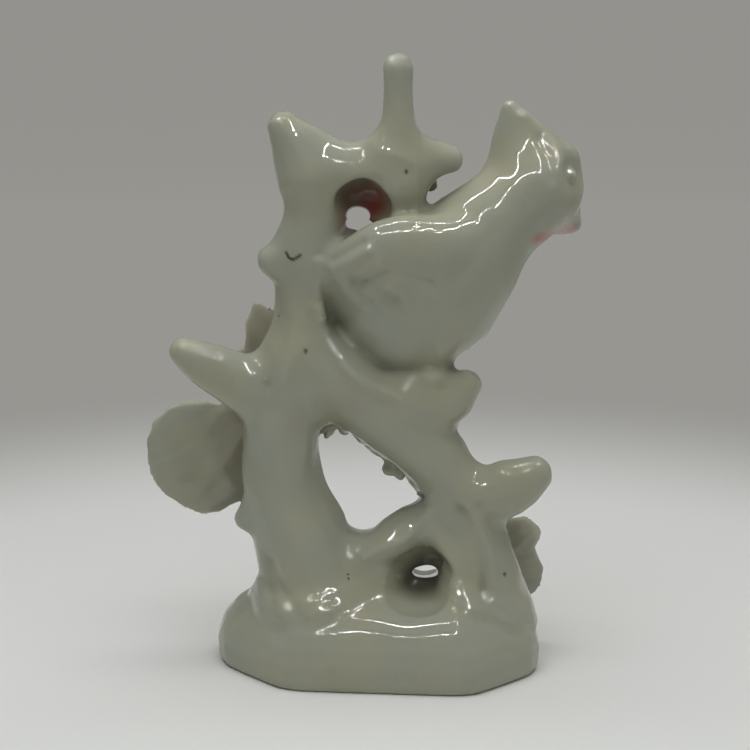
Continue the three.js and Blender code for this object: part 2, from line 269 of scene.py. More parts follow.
def box_blur(field, reach, axis):
    """The running mean over 2 reach + 1 cells along one axis."""
    edge = [(reach + 1, reach) if k == axis else (0, 0) for k in range(3)]
    total = np.cumsum(np.pad(field, edge, mode="edge"), axis=axis, dtype=np.float32)
    span = 2 * reach + 1
    upper = [slice(span, None) if k == axis else slice(None) for k in range(3)]
    lower = [slice(None, -span) if k == axis else slice(None) for k in range(3)]
    return (total[tuple(upper)] - total[tuple(lower)]) / span


def blur(field, sigma):
    """Nearly a Gaussian blur, as three box blurs. Sigma is in millimetres."""
    reach = max(1, round(math.sqrt(4 * (sigma / VOXEL) ** 2 + 1) / 2 - 0.5))
    for _ in range(3):
        for axis in range(3):
            field = box_blur(field, reach, axis)
    return field


def fill_creases(field, radius):
    """Rolls a ball of that radius over the outside, so that creases get a fillet and edges stay."""
    points, quads = surface(field, radius)
    return distances(points, quads=quads.astype(np.uint32)) + radius


# ---------------------------------------------------------------- luting the clay together

SPRIGS = [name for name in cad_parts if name.endswith("_leaf") or "_blossom_" in name]
BRANCH = ("trunk", "trunk_top", "perch", "prop", "strut", "root_web", "crown_arch", "crown_web")
TWIGS = (
    "left_horn", "spire", "crown_right_stub", "side_knot", "left_stub", "trunk_knob",
    "perch_end", "right_stub", "root_strand",
)
BIRD = ("bird_body", "bird_head", "bird_crest", "bird_beak")
PLUMES = ("bird_near_wing", "bird_far_wing", "bird_tail")
FEET = ("bird_left_foot", "bird_right_foot")
NODES = ["mound", *BRANCH, *TWIGS, *BIRD, *PLUMES, *FEET, *SPRIGS]


def mm_box(name):
    """A CAD node's lowest and highest corner, in millimetres."""
    low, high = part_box(name)
    return np.array(low) / MM, np.array(high) / MM


def at(name, u, v, w):
    """The point at these shares of a CAD node's box along X, Y and Z."""
    low, high = mm_box(name)
    return low + (high - low) * (u, v, w)


def smoothstep(low, high, value):
    share = np.clip((value - low) / (high - low), 0, 1)
    return share * share * (3 - 2 * share)


CROWN_HEIGHT = mm_box("crown_arch")[0][2] - 6
CROWN_FADE = 4  # how far above and below that height the branch's fillets change over

# Each opening is a node, shares of its box, the radii of a pebble there, and how soft its edge is. The
# pebbles all lean by OPENING_TILT.
OPENING_TILT = -0.21
CROWN_OPENINGS = (
    ("crown_arch", (0.36, 0.28, 0.0), (5.6, 4.4, 4.8), 3.0),  # the recess under the arch
    ("crown_web", (0.53, 0.2, 0.10), (3.0, 14, 1.6), 0.9),  # the small window at the recess's bottom
)
FOOT_OPENINGS = (
    ("root_web", (0.40, -1.7, 0.2), (10.5, 8.0, 5.2), 5.0),  # the bowl beside the root strand
    ("root_web", (0.60, 0.5, 0.0), (3.0, 14, 1.5), 0.8),  # the small window behind the bowl
    ("strut", (0.17, 0.5, 0.65), (2.2, 14, 1.5), 2.0),  # the large window's low corner
    ("strut", (0.66, 0.5, 0.98), (2.7, 14, 1.9), 1.4),  # the large window's right corner
)


class Luting:
    """Joins CAD nodes into distance fields, and notes for every cell which node is the nearest."""

    def __init__(self):
        self.owner = np.zeros(GRID_SHAPE, np.int8)
        self.nearest = np.full(GRID_SHAPE, 2 * BAND, np.float32)

    def join(self, names, width, sigma):
        """One softened field of some nodes, with fillets about `width` wide between them."""
        joined = np.full(GRID_SHAPE, BAND, np.float32)
        low, high = np.full(3, np.inf), np.full(3, -np.inf)
        for name in names:
            points, triangles = node_mesh(name)
            where = region(points.min(0), points.max(0))
            field = distances(points, where, triangles=triangles)
            closer = field < self.nearest[where]
            self.nearest[where][closer] = field[closer]
            self.owner[where][closer] = NODES.index(name)
            joined[where] = soft_union(joined[where], field, width)
            low, high = np.minimum(low, points.min(0)), np.maximum(high, points.max(0))
        where = region(low, high)
        joined[where] = blur(joined[where], sigma)
        return joined


def grid_line(axis):
    """The places of the grid's cells along one axis, in millimetres, ready to spread over the grid."""
    shape = [1, 1, 1]
    shape[axis] = -1
    return ((GRID_LOW[axis] + np.arange(GRID_SHAPE[axis])) * VOXEL).astype(np.float32).reshape(shape)


def grid_lines(where=WHOLE):
    """The places of part of the grid's cells along X, Y and Z."""
    return (grid_line(axis)[(slice(None),) * axis + (where[axis],)] for axis in range(3))


def pebble(centre, radii, tilt=0.0, where=WHOLE):
    """The distance field of an ellipsoid that leans by `tilt` in the YZ plane."""
    x, y, z = (line - c for line, c in zip(grid_lines(where), centre))
    along = y * math.cos(tilt) + z * math.sin(tilt)
    rise = z * math.cos(tilt) - y * math.sin(tilt)
    reach = np.sqrt((x / radii[0]) ** 2 + (along / radii[1]) ** 2 + (rise / radii[2]) ** 2)
    return np.clip((reach - 1) * min(radii), -BAND, BAND)


def bore(field, openings):
    """Cuts openings with softened edges."""
    for node, shares, radii, softness in openings:
        field = -soft_union(-field, pebble(at(node, *shares), radii, OPENING_TILT), softness)
    return field


def soften(field, centre, radius, sigma):
    """Blurs a field inside a ball, less and less towards the ball's edge."""
    where = region(centre, centre, radius)
    away = sum((line - c) ** 2 for line, c in zip(grid_lines(where), centre))
    share = smoothstep(radius, 0.4 * radius, np.sqrt(away))
    field[where] += share * (blur(field[where], sigma) - field[where])


# The ragged fin that trimming left round the upper side of the large window: shares of the perch's box
# along X and Z, and one share along Y for all.
FIN = (
    (0.12, 0.40), (0.17, 0.42), (0.22, 0.405), (0.26, 0.395), (0.31, 0.38), (0.35, 0.355), (0.385, 0.32),
    (0.43, 0.27), (0.46, 0.215), (0.51, 0.16), (0.56, 0.125),
)
FIN_DEPTH = 0.62
FIN_FILLET = 0.5


def add_fin(field):
    """Strings thin pebbles of uneven size along the fin."""
    for k, (u, w) in enumerate(FIN):
        centre = at("perch", u, FIN_DEPTH, w)
        radii = (1.6 + 0.4 * math.sin(2.4 * k), 1.0, 1.7 + 0.5 * math.sin(3.7 * k))
        where = region(centre, centre)
        field[where] = soft_union(field[where], pebble(centre, radii, where=where), FIN_FILLET)


# How wide the fillets are where the clay pieces meet.
TWIG_FILLET, CROWN_TWIG_EXTRA = 1.6, 3.4
MOUND_FILLET, BIRD_FILLET, FOOT_FILLET, SPRIG_FILLET = 7.0, 1.2, 1.0, 0.9
NEAR_WING_FILLET, FAR_PLUME_FILLET = 5.0, 2.2
SLIP_FILLET, SILL_FILLET = 1.0, 1.5
# The radii of the balls that are rolled over the creases.
BRANCH_BALL, CROWN_BALL, BIRD_BALL, LAST_BALL = 1.4, 2.6, 3.6, 0.8
# How much the glaze fattens the thin pieces.
FOOT_GROWTH, SPRIG_GROWTH = 0.2, 0.25
# The dabs of slip: where they lie and their radii.
SILL_PLACE, SILL_RADII = ("crown_web", 0.38, 0.5, -0.41), (3.0, 3.0, 1.8)
SLIP_PLACE, SLIP_RADII = ("perch_end", 0.46, 0.5, 0.88), (3.6, 4.5, 2.2)
HORN_ROOT = ("left_horn", 0.85, 0.3, 0.35)


def fused_branch(luting):
    """The trunk, the perch and their twigs, with broad fillets in the crown and tight ones below it."""
    crown = smoothstep(CROWN_HEIGHT - CROWN_FADE, CROWN_HEIGHT + CROWN_FADE, grid_line(2))
    branch = luting.join(BRANCH, width=1.4, sigma=1.1)
    twigs = luting.join(TWIGS, width=1.4, sigma=0.7)
    branch = soft_union(branch, twigs, TWIG_FILLET + CROWN_TWIG_EXTRA * crown)
    branch = crown * fill_creases(branch, CROWN_BALL) + (1 - crown) * fill_creases(branch, BRANCH_BALL)
    soften(branch, at(*HORN_ROOT), radius=11, sigma=2.4)
    branch = bore(branch, CROWN_OPENINGS)
    return soft_union(branch, pebble(at(*SILL_PLACE), SILL_RADII), SILL_FILLET)


def fused_bird(luting):
    """The bird without its feet: the near wing melts into the body, and the far plumes stand out."""
    near_wing, far_plumes = PLUMES[:1], PLUMES[1:]
    bird = fill_creases(luting.join(BIRD, width=4.0, sigma=1.2), BIRD_BALL)
    bird = soft_union(bird, luting.join(far_plumes, width=1.0, sigma=0.6), FAR_PLUME_FILLET)
    return soft_union(bird, luting.join(near_wing, width=1.0, sigma=1.1), NEAR_WING_FILLET)


def fused_field():
    """The whole figure as one field, and the owner of every cell."""
    luting = Luting()
    mound = luting.join(("mound",), width=1, sigma=0.55)
    branch = soft_union(mound, fused_branch(luting), MOUND_FILLET)
    branch = soft_union(branch, pebble(at(*SLIP_PLACE), SLIP_RADII), SLIP_FILLET)
    whole = soft_union(branch, fused_bird(luting), BIRD_FILLET)
    feet = luting.join(FEET, width=0.8, sigma=0.4) - FOOT_GROWTH
    whole = soft_union(whole, feet, FOOT_FILLET)
    sprigs = luting.join(SPRIGS, width=0.5, sigma=0.36) - SPRIG_GROWTH
    whole = soft_union(whole, sprigs, SPRIG_FILLET)
    whole = fill_creases(whole, LAST_BALL)
    add_fin(whole)
    return bore(whole, FOOT_OPENINGS), luting.owner


SMOOTHING_ROUNDS = 8
SMOOTHING_STEPS = (0.5, -0.52)  # in and a little further out, so that the surface doesn't shrink


class Skin:
    """The figure's surface as one mesh of quads, and the faces that part one clay piece from the next.

    Every cell of the grid that holds a border has one point. Every pair of neighbouring grid corners with
    different owners has one quad, which faces from the first owner to the second. Owner -1 is the air.
    """

    def __init__(self, field, owner):
        label = np.where(field < 0, owner, -1).astype(np.int8)
        stride = (GRID_SHAPE[1] * GRID_SHAPE[2], GRID_SHAPE[2], 1)
        quads, inner, outer = [], [], []
        for axis in range(3):
            u, v = stride[(axis + 1) % 3], stride[(axis + 2) % 3]
            first = label[tuple(slice(None, -1) if k == axis else slice(None) for k in range(3))]
            second = label[tuple(slice(1, None) if k == axis else slice(None) for k in range(3))]
            where = np.nonzero(first != second)
            base = sum(i * s for i, s in zip(where, stride))
            quads.append(np.stack([base - u - v, base - v, base, base - u], 1))
            inner.append(first[where])
            outer.append(second[where])
        quads, inner, outer = np.concatenate(quads), np.concatenate(inner), np.concatenate(outer)
        turned = inner < 0
        quads[turned] = quads[turned][:, ::-1]
        inner[turned], outer[turned] = outer[turned], inner[turned]
        cell_ids, index = np.unique(quads, return_inverse=True)
        self.quads = index.reshape(-1, 4)
        self.inner, self.outer = inner, outer
        self.points = self.place(field, cell_ids, stride)
        self.open = outer < 0
        self.glazed = np.zeros(len(self.points), bool)
        self.glazed[self.quads[self.open]] = True
        self.smooth(SMOOTHING_ROUNDS)
        self.normals = self.facing()

    @staticmethod
    def place(field, cell_ids, stride):
        """The middle of each cell's crossings with the surface, or of the cell if it has none."""
        flat = field.ravel()
        steps = np.array([(a, b, c) for a in (0, 1) for b in (0, 1) for c in (0, 1)])
        value = np.stack([flat[cell_ids + int(step @ np.array(stride))] for step in steps], 1)
        total = np.zeros((len(cell_ids), 3))
        count = np.zeros(len(cell_ids))
        for near, step in enumerate(steps):
            for axis in np.nonzero(step == 0)[0]:
                far = near + (4, 2, 1)[axis]
                a, b = value[:, near], value[:, far]
                crossed = (a < 0) != (b < 0)
                share = np.where(crossed, a / np.where(crossed, a - b, 1), 0)
                total[crossed] += step
                total[:, axis] += share
                count += crossed
        middle = np.where(count[:, None] > 0, total / np.maximum(count, 1)[:, None], 0.5)
        corner = np.stack(np.unravel_index(cell_ids, GRID_SHAPE), 1)
        return (corner + GRID_LOW + middle) * VOXEL

    def relax(self, faces, moving, share, rounds):
        """Moves points a share, or several in turn, of the way to the middle of their neighbours."""
        here = [faces[:, k] for k in range(4)]
        following = [faces[:, (k + 1) % 4] for k in range(4)]
        a, b = np.concatenate(here + following), np.concatenate(following + here)
        degree = np.maximum(np.bincount(a, minlength=len(self.points)), 1)[:, None]
        for _ in range(rounds):
            for step in np.atleast_1d(share):
                middle = np.stack(
                    [np.bincount(a, self.points[b, k], len(self.points)) for k in range(3)], 1
                ) / degree
                self.points[moving] += step * (middle - self.points)[moving]

    def smooth(self, rounds):
        """Takes the grid's steps out of the glazed surface."""
        self.relax(self.quads[self.open], self.glazed, SMOOTHING_STEPS, rounds)

    def facing(self):
        """The glazed surface's normals, at every point."""
        faces = self.quads[self.open]
        a, b, c, d = (self.points[faces[:, k]] for k in range(4))
        across = np.cross(c - a, d - b)
        normals = np.zeros_like(self.points)
        for k in range(4):
            for axis in range(3):
                normals[:, axis] += np.bincount(faces[:, k], across[:, axis], len(self.points))
        return normals / np.maximum(np.linalg.norm(normals, axis=1, keepdims=True), 1e-9)

    def raise_by(self, height):
        """Moves the glazed surface out along its normals."""
        self.points += self.normals * np.where(self.glazed, height, 0)[:, None]
        self.normals = self.facing()

    def hollowness(self, rounds):
        """How far, in millimetres, the surface lies inside a smoothed copy of itself."""
        kept = self.points.copy()
        self.relax(self.quads[self.open], self.glazed, 0.5, rounds)
        depth = ((self.points - kept) * self.normals).sum(1)
        self.points = kept
        return depth

    def belongs(self, names, rounds=0):
        """1 at the glazed points that belong to some nodes and 0 elsewhere, spread out a little."""
        mine = np.isin(self.inner, [NODES.index(name) for name in names]) & self.open
        share = np.zeros(len(self.points))
        share[self.quads[mine]] = 1
        return self.average(share, rounds)

    def average(self, values, rounds):
        """Spreads values over the glazed surface by as many rounds of averaging with the neighbours."""
        faces = self.quads[self.open]
        degree = np.maximum(np.bincount(faces.ravel(), minlength=len(values)), 1) * 4
        for _ in range(rounds):
            around = values[faces].sum(1)
            values = sum(np.bincount(faces[:, k], around, len(values)) for k in range(4)) / degree
        return values

    def piece(self, name, extra):
        """The closed skin of one CAD node, as a Blender object that carries some values per point."""
        index = NODES.index(name)
        forward = self.inner == index
        backward = self.outer == index
        faces = np.concatenate([self.quads[forward], self.quads[backward][:, ::-1]])
        glazed_face = np.concatenate([self.open[forward], np.zeros(backward.sum(), bool)])
        used, faces = np.unique(faces, return_inverse=True)
        faces = faces.reshape(-1, 4)
        points = self.points[used]
        mesh = bpy.data.meshes.new(f"{name}_skin")
        mesh.vertices.add(len(points))
        mesh.vertices.foreach_set("co", (points * MM).astype(np.float32).ravel())
        mesh.loops.add(faces.size)
        mesh.loops.foreach_set("vertex_index", faces.astype(np.int32).ravel())
        mesh.polygons.add(len(faces))
        mesh.polygons.foreach_set("loop_start", np.arange(0, faces.size, 4, dtype=np.int32))
        mesh.update(calc_edges=True)
        mesh.shade_smooth()
        a, b, c, d = (points[faces[:, k]] for k in range(4))
        flat = np.cross(c - a, d - b)
        flat /= np.maximum(np.linalg.norm(flat, axis=1, keepdims=True), 1e-9)
        corner = np.where(glazed_face[:, None, None], self.normals[used][faces], flat[:, None, :])
        mesh.normals_split_custom_set(corner.reshape(-1, 3).tolist())
        for attribute, values in extra.items():
            kind, field = ("FLOAT", "value") if values.ndim == 1 else ("FLOAT_COLOR", "color")
            layer = mesh.attributes.new(attribute, kind, "POINT")
            layer.data.foreach_set(field, values[used].astype(np.float32).ravel())
        obj = bpy.data.objects.new(f"{name}_skin", mesh)
        bpy.context.scene.collection.objects.link(obj)
        return obj


# ---------------------------------------------------------------- relief

# The ripples' seeds, fixed so that every run gives the same figure.
EDGE_SEED, SLOW_SWELL_SEED, QUICK_SWELL_SEED, FLASH_SEED, RIDGE_SEED = 5, 11, 12, 21, 23
BRUSH_EDGE_SEED, STREAK_SEED, GRAIN_SEED = 31, 32, 33


def ripple(points, wavelength, seed, waves=8):
    """A smooth random swell between about -1 and 1."""
    chance = np.random.default_rng(seed)
    ways = chance.normal(size=(waves, 3))
    ways *= 2 * math.pi / wavelength / np.linalg.norm(ways, axis=1, keepdims=True)
    phases = chance.uniform(0, 2 * math.pi, waves)
    return np.sin(points @ ways.T + phases).sum(1) / math.sqrt(waves)


def curve(points, steps=6):
    """A smooth line through a few points."""
    padded = np.concatenate([2 * points[:1] - points[1:2], points, 2 * points[-1:] - points[-2:-1]])
    share = np.linspace(0, 1, steps, endpoint=False)[:, None]
    parts = []
    for a, b, c, d in zip(padded, padded[1:], padded[2:], padded[3:]):
        bend = (2 * a - 5 * b + 4 * c - d) * share**2 + (3 * b - a - 3 * c + d) * share**3
        parts.append(b + ((c - a) * share + bend) / 2)
    return np.concatenate([*parts, points[-1:]])


def track(skin, node, line):
    """How far each point lies, seen along Y, from a smooth line through shares of a node's box."""
    low, high = mm_box(node)
    path = curve(low[[0, 2]] + np.array(line, float) * (high - low)[[0, 2]])
    place = skin.points[:, [0, 2]]
    nearest = np.full(len(place), np.inf)
    for a, b in zip(path, path[1:]):
        run = b - a
        share = np.clip(((place - a) @ run) / max(run @ run, 1e-9), 0, 1)
        nearest = np.minimum(nearest, np.linalg.norm(place - a - share[:, None] * run, axis=1))
    return nearest


# Each mark on the plain back is a node, how high it stands (or how deep it goes, if negative), its
# half-width, and a line through shares of the node's box along X and Z.
BACK_MARKS = (
    # the folded wing's two quills, the groove over them and the fold under them
    ("bird_near_wing", -0.35, 0.9, [(0.09, 0.40), (0.19, 0.52), (0.29, 0.64)]),
    ("bird_near_wing", 0.5, 1.2, [(0.09, 0.29), (0.21, 0.40), (0.33, 0.54)]),
    ("bird_near_wing", 0.45, 1.3, [(0.12, 0.14), (0.26, 0.23), (0.40, 0.36)]),
    ("bird_near_wing", -0.5, 1.6, [(0.09, 0.06), (0.25, 0.12), (0.39, 0.23), (0.54, 0.27), (0.76, 0.16)]),
    # feathers
    ("bird_body", -0.6, 1.4, [(0.15, 0.49), (0.16, 0.43), (0.19, 0.39), (0.23, 0.38)]),
    ("bird_body", -0.6, 1.4, [(0.21, 0.47), (0.25, 0.42), (0.29, 0.40), (0.34, 0.41)]),
    ("bird_body", 0.45, 1.3, [(0.13, 0.44), (0.16, 0.40), (0.20, 0.36)]),
    ("bird_body", 0.45, 1.3, [(0.21, 0.45), (0.24, 0.41), (0.29, 0.38)]),
    ("bird_body", 0.4, 1.5, [(0.30, 0.46), (0.34, 0.43), (0.40, 0.41), (0.47, 0.42)]),
    ("bird_body", -0.2, 1.6, [(0.13, 0.28), (0.20, 0.31), (0.27, 0.31)]),
    # the brow, and the fold between the cheek and the neck
    ("bird_head", 0.6, 1.3, [(0.38, 1.24), (0.53, 1.09), (0.67, 0.92), (0.73, 0.80)]),
    ("bird_head", -0.45, 1.3, [(0.51, 1.0), (0.59, 0.82), (0.63, 0.64)]),
    # the rim of the cradle that the bird sits in
    ("trunk_top", 0.9, 1.2, [(0.66, 0.34), (0.63, 0.18), (0.65, 0.01)]),
    (
        "perch", 1.0, 1.3,
        [(0.05, 1.1), (0.08, 1.0), (0.15, 0.88), (0.27, 0.74), (0.40, 0.66), (0.55, 0.60)],
    ),
    # the fork where the broken stub leaves the trunk
    ("trunk", -0.5, 1.6, [(0.22, 0.74), (0.29, 0.83), (0.36, 0.93)]),
    ("trunk", 0.4, 1.8, [(0.30, 0.70), (0.38, 0.80), (0.50, 0.86)]),
    # roots
    ("mound", -0.5, 1.4, [(0.16, 1.27), (0.17, 1.02), (0.18, 0.75)]),
    ("mound", -0.45, 1.4, [(0.17, 1.22), (0.21, 1.02), (0.26, 0.78)]),
    ("mound", 0.4, 2.0, [(0.14, 1.06), (0.16, 0.67), (0.18, 0.39)]),
    # bark on the prop, and the strand beside the bowl
    ("prop", -0.6, 1.7, [(0.33, 0.71), (0.42, 0.62), (0.51, 0.51), (0.54, 0.39), (0.55, 0.27)]),
    ("root_strand", 0.3, 1.6, [(0.06, 1.05), (0.41, 0.69), (0.54, 0.33), (0.55, -0.19)]),
    ("prop", -0.45, 1.6, [(0.49, 0.76), (0.61, 0.6), (0.68, 0.45), (0.70, 0.32)]),
    ("prop", 0.4, 1.5, [(0.40, 0.74), (0.56, 0.57), (0.63, 0.42), (0.64, 0.3)]),
    ("right_stub", -0.35, 1.6, [(0.15, 0.2), (0.35, 0.35), (0.6, 0.3)]),
    ("strut", 0.6, 1.1, [(0.86, 0.86), (0.64, 0.60), (0.37, 0.46), (0.20, 0.34)]),
    ("strut", -0.4, 1.5, [(0.75, 0.9), (0.55, 0.80), (0.3, 0.72)]),
    # the spire's chamfers
    ("spire", 0.2, 0.8, [(0.30, 0.95), (0.34, 0.75), (0.27, 0.55), (0.16, 0.36)]),
    ("spire", 0.2, 0.8, [(0.78, 0.95), (0.72, 0.75), (0.74, 0.5), (0.72, 0.1)]),
)


def mark_back(skin):
    """Raises the marks on what faces the back, -Y."""
    facing = smoothstep(-0.1, 0.5, -skin.normals[:, 1])
    height = np.zeros(len(skin.points))
    for node, rise, width, line in BACK_MARKS:
        height += rise * np.exp(-((track(skin, node, line) / width) ** 2))
    skin.raise_by(height * facing)


def dimple(skin, centre, radius, rise):
    """The height of a round bump, or of a hollow if the rise is negative."""
    away = np.linalg.norm(skin.points - centre, axis=1) / radius
    return rise * np.exp(-(away**2))


def head_point(azimuth, elevation):
    """A point on the head, at angles in degrees from +X towards +Y and from level."""
    low, high = mm_box("bird_head")
    a, e = math.radians(azimuth), math.radians(elevation)
    way = np.array([math.cos(a) * math.cos(e), math.sin(a) * math.cos(e), math.sin(e)])
    return (low + high) / 2 + way * (high - low) / 2


def axes_of(name):
    """A CAD node's middle, and its long, broad and thin directions."""
    points, _ = node_mesh(name)
    middle = points.mean(0)
    return middle, np.linalg.svd(points - middle, full_matrices=False)[2]


BEAK_TURN = 47  # how far the head looks round from +X towards +Y, in degrees
EYE_TURN = 86  # how far each eye is from the beak
EYE_RISE = 19

# Round each eye: degrees away from the beak and up from the eye, the reach and the rise.
EYE_RELIEF = (
    (0, 0, 3.0, -1.7),  # the socket
    (0, 0, 1.5, 2.1),  # the eyeball
    (-22, 24, 3.0, 0.7),  # the brow
    (24, 4, 2.2, 0.45),  # the ear's feathers
)


def shape_head(skin):
    height = np.zeros(len(skin.points))
    for side in (-1, 1):
        for turn, up, radius, rise in EYE_RELIEF:
            place = head_point(BEAK_TURN + side * (EYE_TURN + turn), EYE_RISE + up)
            height += dimple(skin, place, radius, rise)
    skin.raise_by(height)


# The twigs' tips, flattened or filled out: the node, shares of its box, the reach and the rise.
TIPS = (
    ("spire", (0.5, 0.35, 0.99), 2.4, -0.4),
    ("left_horn", (0.24, 0.4, 0.98), 3.2, -0.4),
    ("crown_right_stub", (0.8, 0.3, 0.85), 3.0, -0.5),
    ("side_knot", (0.15, 0.25, 0.85), 2.6, -0.4),
    ("left_stub", (0.18, 0.35, 0.75), 5.5, 0.9),
    ("right_stub", (0.9, 0.4, 0.9), 3.0, 0.5),
)


def shape_tips(skin):
    height = np.zeros(len(skin.points))
    for node, place, radius, rise in TIPS:
        height += dimple(skin, at(node, *place), radius, rise)
    skin.raise_by(height)


GREAT_PETAL = "trunk_blossom_petal_1"  # the petal whose hollow back shows beside the trunk
PETAL_RIBS = 26  # how many would go round a whole blossom
BACK_RIDGES = 30
VEIN_WIDTH = 0.55
SIDE_VEIN_PITCH = 2.4
QUILL_PITCH = {"bird_far_wing": 2.1, "bird_tail": 1.7}


def hub_of(petal):
    """The middle of the button that a petal grows from."""
    return axes_of(petal.split("_petal_")[0] + "_button")[0]


def rib_blades(skin):
    """Ribs on the petals, veins on the leaves, and quills on the far wing and the tail."""
    height = np.zeros(len(skin.points))
    edge = 1 - np.abs(skin.normals[:, 1])
    front = smoothstep(-0.2, 0.4, skin.normals[:, 1])
    for name in SPRIGS:
        mine = skin.belongs([name], 1)
        if name == GREAT_PETAL:
            mine = mine * (skin.normals[:, 1] > 0)
        if "_petal_" in name:
            x, _, z = (skin.points - hub_of(name)).T
            height += mine * (1 - edge) * (0.05 + 0.12 * front) * np.cos(PETAL_RIBS * np.arctan2(z, x))
        elif name.endswith("_leaf"):
            middle, (long, broad, _) = axes_of(name)
            along, across = (skin.points - middle) @ long, (skin.points - middle) @ broad
            vein = -0.45 * np.exp(-((across / VEIN_WIDTH) ** 2))
            side_veins = 0.14 * np.cos(2 * math.pi * (along + np.abs(across)) / SIDE_VEIN_PITCH)
            height += mine * front * (vein + side_veins) * (1 - edge)
        height += mine * edge * 0.4 * ripple(skin.points, 3.6, EDGE_SEED)
    for name, pitch in QUILL_PITCH.items():
        middle, (_, broad, _) = axes_of(name)
        across = (skin.points - middle) @ broad
        height += skin.belongs([name], 2) * 0.22 * np.cos(2 * math.pi * across / pitch)
    skin.raise_by(height)


def ridge_great_petal(skin):
    """The slanting ridges on the hollow back of the largest petal."""
    mine = skin.belongs([GREAT_PETAL], 2) * smoothstep(0.5, 0.95, -skin.normals[:, 1])
    x, _, z = (skin.points - at(GREAT_PETAL, 1.6, 0.5, 1.5)).T
    waver = 0.8 * ripple(skin.points, 9, RIDGE_SEED)
    skin.raise_by(mine * 0.2 * np.cos(BACK_RIDGES * np.arctan2(z, x) + waver))


def swell(skin):
    """The unevenness that hands and glaze leave: more on the branch than on the bird."""
    bird = skin.belongs([*BIRD, *PLUMES], 12)
    swells = ripple(skin.points, 13, SLOW_SWELL_SEED) * 0.3
    swells = swells + ripple(skin.points, 7.5, QUICK_SWELL_SEED) * 0.1
    height = swells * (1 - 0.7 * bird) * (1 - 0.6 * skin.belongs(["mound"], 12))
    height *= smoothstep(0, 4, skin.points[:, 2])  # the foot stays flat
    skin.raise_by(height)


# The upper side of the large window, through shares of the perch's box along X and Z.
WINDOW_EDGE = (
    (0.11, 0.34), (0.15, 0.36), (0.22, 0.34), (0.30, 0.28), (0.42, 0.16), (0.55, 0.06), (0.66, 0.0),
)


def roughen_window(skin):
    """The unevenness that trimming left along the upper side of the large window."""
    near = np.exp(-((track(skin, "perch", WINDOW_EDGE) / 1.8) ** 2))
    below = smoothstep(-0.2, 0.6, -skin.normals[:, 2] - 0.4 * skin.normals[:, 0])
    ragged = 0.45 + 0.8 * ripple(skin.points, 3.8, FLASH_SEED)
    skin.raise_by(near * below * ragged)


def add_relief(skin):
    swell(skin)
    mark_back(skin)
    shape_head(skin)
    shape_tips(skin)
    rib_blades(skin)
    ridge_great_petal(skin)
    roughen_window(skin)
    skin.points[:, 2] = np.maximum(skin.points[:, 2], 0)  # nothing hangs below the foot


# ---------------------------------------------------------------- paint

RED = (0.36, 0.03, 0.022)
MASK = (0.02, 0.014, 0.014)
ORANGE = (0.52, 0.2, 0.04)
BROWN = (0.17, 0.075, 0.03)
GREEN = (0.1, 0.17, 0.05)
PINK = (0.5, 0.12, 0.14)
YELLOW = (0.5, 0.31, 0.04)
SOOT = (0.012, 0.01, 0.008)
BISCUIT = (0.55, 0.51, 0.43)
BLUSH = (0.3, 0.12, 0.08)
BOWL_SHADE = (0.05, 0.035, 0.02)
RECESS_SHADE = (0.07, 0.04, 0.025)
BLUE_STAIN = (0.12, 0.14, 0.2)


class Paint:
    """Overglaze colour and painted shade on the skin: a colour and how far it covers, at every point."""

    def __init__(self, skin):
        self.skin = skin
        self.layer = np.zeros((len(skin.points), 4))

    def brush(self, colour, cover):
        """Lays a colour over what is there."""
        cover = np.clip(cover, 0, 1)
        total = cover + self.layer[:, 3] * (1 - cover)
        share = (cover / np.maximum(total, 1e-6))[:, None]
        self.layer[:, :3] = self.layer[:, :3] * (1 - share) + np.array(colour) * share
        self.layer[:, 3] = total

    def dab(self, colour, centre, radius, cover):
        """Lays a round spot of colour."""
        away = np.linalg.norm(self.skin.points - centre, axis=1) / radius
        self.brush(colour, cover * np.exp(-(away**4)))


def paint_front(paint):
    """The decorated front, where every colour stops at the edge of what faces the back."""
    skin = paint.skin
    turned = skin.normals[:, 1] + 0.16 * ripple(skin.points, 5, BRUSH_EDGE_SEED)
    far_side = smoothstep(5, 9, skin.points[:, 1])
    front = smoothstep(0.1, 0.5, turned + 0.5 * far_side)
    grain = skin.points * (1, 1, 0.3)
    streak = 0.5 + 0.3 * ripple(grain + skin.normals, 2.9, STREAK_SEED, waves=24)
    streak = streak + 0.3 * ripple(grain, 6.5, GRAIN_SEED, waves=24)
    paint.brush(BROWN, front * skin.belongs([*BRANCH, *TWIGS], 3) * (0.45 + 0.35 * streak))
    low = smoothstep(16, 8, skin.points[:, 2])
    paint.brush(GREEN, front * skin.belongs(["mound"], 3) * (0.35 + 0.2 * streak) * (1 - 0.5 * low))
    paint.brush(RED, front * skin.belongs([*BIRD, *PLUMES], 2) * (0.88 + 0.08 * streak))
    beak, _ = axes_of("bird_beak")
    away = np.linalg.norm(skin.points - beak, axis=1)
    paint.brush(MASK, smoothstep(8.5, 6, away + 0.8 * streak) * smoothstep(0.0, 0.5, turned) * 0.9)
    paint.brush(ORANGE, skin.belongs(["bird_beak"], 1) * smoothstep(-0.35, 0.2, turned) * 0.9)
    paint.brush(ORANGE, skin.belongs(FEET, 1) * smoothstep(-0.4, 0.1, turned) * 0.9)
    for name in SPRIGS:
        mine = skin.belongs([name])
        if name.endswith("_leaf"):
            paint.brush(GREEN, mine * smoothstep(-0.1, 0.3, turned) * (0.75 + 0.2 * streak))
        elif name.endswith("_button"):
            paint.brush(YELLOW, mine * smoothstep(-0.4, 0.0, turned) * 0.92)
        else:
            blush = np.exp(-np.linalg.norm(skin.points - hub_of(name), axis=1) / 5.0)
            paint.brush(PINK, mine * front * blush * 1.3)
    paint.dab(SOOT, head_point(BEAK_TURN + EYE_TURN, EYE_RISE), 1.3, 0.95)


